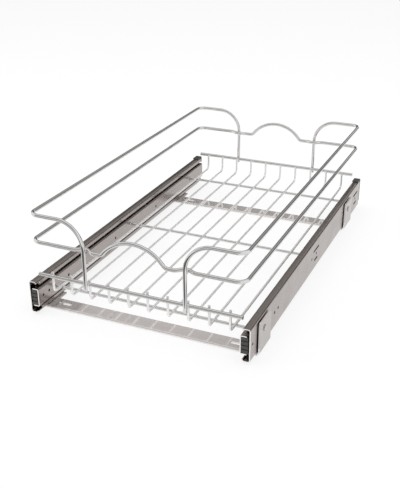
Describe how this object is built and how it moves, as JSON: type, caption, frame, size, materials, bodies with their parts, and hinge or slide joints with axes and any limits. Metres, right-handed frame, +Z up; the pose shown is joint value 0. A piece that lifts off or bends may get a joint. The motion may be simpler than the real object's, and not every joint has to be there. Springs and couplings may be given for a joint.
{
  "type": "pull-out cabinet basket",
  "caption": "Shallow chrome wire basket for a base cabinet, carried between two full-extension ball-bearing slides on steel cross plates; it slides out to the front.",
  "frame": {"origin": "bottom centre of the bounding box, on the cabinet floor", "axes": "+X to the right seen from the front, +Y to the back of the cabinet, +Z up"},
  "size_m": [0.2982, 0.5038, 0.1374],
  "materials": {
    "chrome_wire": "bright chrome plating",
    "slide_steel": "zinc-plated rolled steel, satin",
    "plate_steel": "bright zinc-plated steel",
    "rivet_steel": "bright turned steel",
    "cage_steel": "thin bright steel strip",
    "ball_steel": "polished bearing steel",
    "dark_plastic": "matt black moulding"
  },
  "bodies": {
    "base": {"left_channel": "slide_steel", "right_channel": "slide_steel", "front_cross_plate": "plate_steel", "rear_cross_plate": "plate_steel", "ear_rivets": "rivet_steel", "left_rear_stop": "dark_plastic", "right_rear_stop": "dark_plastic"},
    "basket": {"left_drawer_member": "slide_steel", "right_drawer_member": "slide_steel", "left_front_cap": "dark_plastic", "right_front_cap": "dark_plastic", "left_front_post": "chrome_wire", "left_rear_post": "chrome_wire", "left_handle_rail": "chrome_wire", "right_front_post": "chrome_wire", "right_rear_post": "chrome_wire", "right_handle_rail": "chrome_wire", "gallery_ring": "chrome_wire", "front_top_rail": "chrome_wire", "rear_top_rail": "chrome_wire", "floor_wires": "chrome_wire", "front_cross_wire": "chrome_wire", "middle_cross_wire": "chrome_wire", "rear_cross_wire": "chrome_wire"},
    "left_middle": {"left_middle_member": "slide_steel"},
    "left_outer_bearing": {"left_outer_cage": "cage_steel", "left_outer_balls": "ball_steel"},
    "left_inner_bearing": {"left_inner_cage": "cage_steel", "left_inner_balls": "ball_steel"},
    "right_middle": {"right_middle_member": "slide_steel"},
    "right_outer_bearing": {"right_outer_cage": "cage_steel", "right_outer_balls": "ball_steel"},
    "right_inner_bearing": {"right_inner_cage": "cage_steel", "right_inner_balls": "ball_steel"}
  },
  "joints": [
    {"name": "pull_out", "type": "slide", "parent": "base", "child": "basket", "axis": [0, -1, 0], "range_m": [0, 0.5]},
    {"name": "left_middle_slide", "type": "slide", "parent": "base", "child": "left_middle", "axis": [0, -1, 0], "range_m": [0, 0.25]},
    {"name": "left_outer_bearing_slide", "type": "slide", "parent": "base", "child": "left_outer_bearing", "axis": [0, -1, 0], "range_m": [0, 0.125]},
    {"name": "left_inner_bearing_slide", "type": "slide", "parent": "base", "child": "left_inner_bearing", "axis": [0, -1, 0], "range_m": [0, 0.375]},
    {"name": "right_middle_slide", "type": "slide", "parent": "base", "child": "right_middle", "axis": [0, -1, 0], "range_m": [0, 0.25]},
    {"name": "right_outer_bearing_slide", "type": "slide", "parent": "base", "child": "right_outer_bearing", "axis": [0, -1, 0], "range_m": [0, 0.125]},
    {"name": "right_inner_bearing_slide", "type": "slide", "parent": "base", "child": "right_inner_bearing", "axis": [0, -1, 0], "range_m": [0, 0.375]}
  ],
  "couplings": [
    {"joint": "left_middle_slide", "follows": "pull_out", "ratio": 0.5},
    {"joint": "left_outer_bearing_slide", "follows": "pull_out", "ratio": 0.25},
    {"joint": "left_inner_bearing_slide", "follows": "pull_out", "ratio": 0.75},
    {"joint": "right_middle_slide", "follows": "pull_out", "ratio": 0.5},
    {"joint": "right_outer_bearing_slide", "follows": "pull_out", "ratio": 0.25},
    {"joint": "right_inner_bearing_slide", "follows": "pull_out", "ratio": 0.75}
  ]
}
